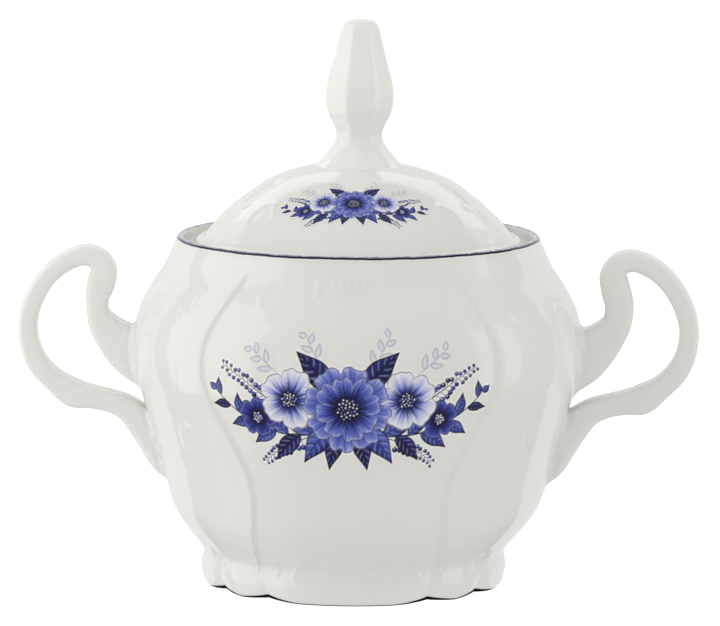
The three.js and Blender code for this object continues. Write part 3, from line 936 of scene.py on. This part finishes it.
def lip_print(columns=1600):
    """The painted lip: a fine navy line on its outer edge and a thin uneven wash over the top."""
    run = WALL_END + np.arange(*LIP_BAND, LIP_PITCH)
    theta, run = np.meshgrid(np.linspace(-np.pi, np.pi, columns + 1), run)
    points = BODY.at(theta, run, FILM)
    points[:, -1] = points[:, 0]
    off = run - (WALL_END + LIP_LINE)
    wobble = 0.06 * wave_noise(theta * 9, 31) + 0.03 * wave_noise(theta * 57, 32)
    line = smoothstep(-0.26, -0.14, off + wobble) * (1 - smoothstep(0.2, 0.4, off + wobble))
    streak = 0.5 + 0.35 * wave_noise(theta * 40, 33, 6) + 0.2 * wave_noise(theta * 171, 34, 5)
    wash = smoothstep(0.1, 0.4, off) * (1 - smoothstep(1.1, 1.6, off + 0.2 * wobble))
    wash = wash * np.clip(streak + 0.25, 0, 1)
    ink = blend3(np.broadcast_to(PAPER, points.shape), LIP_WASH, 0.85 * wash)
    ink = blend3(ink, LIP_NAVY, line)
    return points, ink


film = print_film("bowl_lip_print", *lip_print())
dress(film, PRINTED, "bowl", "bowl_porcelain")

# ------------------------------------------------------------------ studio
FLOOR_SIZE = 6.0
FLOOR_DROP = 0.0003     # how far the floor lies below the foot
BAND_SINK = 0.1         # millimetres that the contact band lies inside the skirt, and begins above its edge
BAND_DEPTH, BAND_GROWTH = 0.2, 0.42     # how deep it hangs, and what each millimetre that the edge rises adds


def studio_material(name, colour, glow):
    """A matt surface that may glow."""
    material = bpy.data.materials.new(name)
    material.use_nodes = True
    shader = material.node_tree.nodes["Principled BSDF"]
    shader.inputs["Base Color"].default_value = (*colour, 1)
    shader.inputs["Roughness"].default_value = 0.9
    shader.inputs["Specular IOR Level"].default_value = 0.0
    shader.inputs["Emission Color"].default_value = (1, 1, 1, 1)
    shader.inputs["Emission Strength"].default_value = glow
    return material


bpy.ops.mesh.primitive_plane_add(size=FLOOR_SIZE, location=(0, 0, -FLOOR_DROP))
floor = bpy.context.object
floor.name = "studio_floor"
floor.data.materials.append(studio_material("studio_white", (0.5, 0.5, 0.5), 0.85))
floor.visible_diffuse = floor.visible_glossy = False


def contact_shadow():
    """The dark line between the skirt of the foot and the table: a thin band that follows its edge."""
    theta = np.linspace(-np.pi, np.pi, COLUMNS + 1)
    radius, edge = lobed(theta, *(np.full(theta.shape, size) for size in SKIRT_EDGE))
    radius = radius - BAND_SINK
    depth = BAND_DEPTH + BAND_GROWTH * (edge - SKIRT_EDGE[1])
    band = np.stack([turn(theta, radius, edge + BAND_SINK), turn(theta, radius, edge - depth)])
    band[..., 0] += FOOT_SHIFT
    low = np.arange(COLUMNS)
    return add_mesh("contact_shadow", band.reshape(-1, 3),
                    np.stack([low, low + 1, low + COLUMNS + 2, low + COLUMNS + 1], -1))


shadow = contact_shadow()
shadow.data.materials.append(studio_material("studio_black", (0.01, 0.01, 0.012), 0.0))

# The room is white to the camera and bright to what it lights. It is dim in reflections, so that the
# lamps and cards are what shows there.
ROOM_SEEN, ROOM_LIGHT, ROOM_REFLECTED = 1.1, 0.79, 0.2
world = bpy.data.worlds.new("studio")
bpy.context.scene.world = world
world.use_nodes = True
nodes, links = world.node_tree.nodes, world.node_tree.links
path = nodes.new("ShaderNodeLightPath")


def room(level):
    """A plain white surround of a brightness."""
    node = nodes.new("ShaderNodeBackground")
    node.inputs["Color"].default_value = (1, 1, 1, 1)
    node.inputs["Strength"].default_value = level
    return node.outputs[0]


def where_ray(kind, no, yes):
    """One surround for a kind of ray and another for the rest."""
    node = nodes.new("ShaderNodeMixShader")
    links.new(path.outputs[kind], node.inputs["Fac"])
    links.new(no, node.inputs[1])
    links.new(yes, node.inputs[2])
    return node.outputs[0]


lit = where_ray("Is Glossy Ray", room(ROOM_LIGHT), room(ROOM_REFLECTED))
links.new(where_ray("Is Camera Ray", lit, room(ROOM_SEEN)), nodes["World Output"].inputs["Surface"])


def reflection_card(name, location, tilt, size, glow):
    """A bright card that only shows in the glaze."""
    bpy.ops.mesh.primitive_plane_add(size=1, location=location, rotation=(tilt, 0, 0))
    card = bpy.context.object
    card.name = name
    card.scale = (*size, 1)
    card.data.materials.append(studio_material(name + "_white", (0, 0, 0), glow))
    card.visible_camera = card.visible_diffuse = card.visible_shadow = False


reflection_card("back_card", (0, 1.3, 0.4), radians(90), (4.0, 2.6), 0.86)
reflection_card("top_card", (0, 0.82, 0.74), radians(-48), (1.5, 0.34), 1.5)


def softbox(name, azimuth, elevation, distance, size, power, target=(0, 0, 0.06)):
    """A soft lamp at an angle round the object from the front, towards +X, and above the floor."""
    lamp = bpy.data.lights.new(name, "AREA")
    lamp.shape = "RECTANGLE"
    lamp.size, lamp.size_y = size
    lamp.energy = power
    holder = bpy.data.objects.new(name, lamp)
    bpy.context.scene.collection.objects.link(holder)
    a, e = radians(azimuth), radians(elevation)
    back = Vector((sin(a) * cos(e), -cos(a) * cos(e), sin(e)))
    holder.location = Vector(target) + back * distance
    holder.rotation_euler = back.to_track_quat("Z", "Y").to_euler()


softbox("key_left", -80, 8, 0.9, (1.0, 1.2), 3.7)
softbox("fill_right", 80, 6, 1.0, (0.5, 0.9), 1.3)
softbox("overhead", 0, 85, 0.9, (1.0, 0.8), 0.25)

# ------------------------------------------------------------------ camera
DISTANCE = 1.400
ELEVATION = radians(7.65)
AZIMUTH = radians(2.5)
ROLL = radians(0.3)
TARGET = Vector((0, 0, 0.060))
FOCAL = 331.0
FRAME_RIGHT = 0.00041     # the middle of the view is this far right of the target
FRAME_DOWN = 0.00226      # and this far below it

camera = bpy.data.objects.new("camera", bpy.data.cameras.new("camera"))
bpy.context.scene.collection.objects.link(camera)
bpy.context.scene.camera = camera
camera.data.lens = FOCAL
camera.data.clip_start, camera.data.clip_end = 0.05, 20
back = Vector((sin(AZIMUTH) * cos(ELEVATION), -cos(AZIMUTH) * cos(ELEVATION), sin(ELEVATION)))
camera.location = TARGET + back * DISTANCE
camera.rotation_mode = "QUATERNION"
camera.rotation_quaternion = back.to_track_quat("Z", "Y") @ Quaternion((0, 0, 1), ROLL)
right = camera.rotation_quaternion @ Vector((1, 0, 0))
up = camera.rotation_quaternion @ Vector((0, 1, 0))
camera.location += right * FRAME_RIGHT - up * FRAME_DOWN

bpy.context.scene.view_settings.view_transform = "Standard"
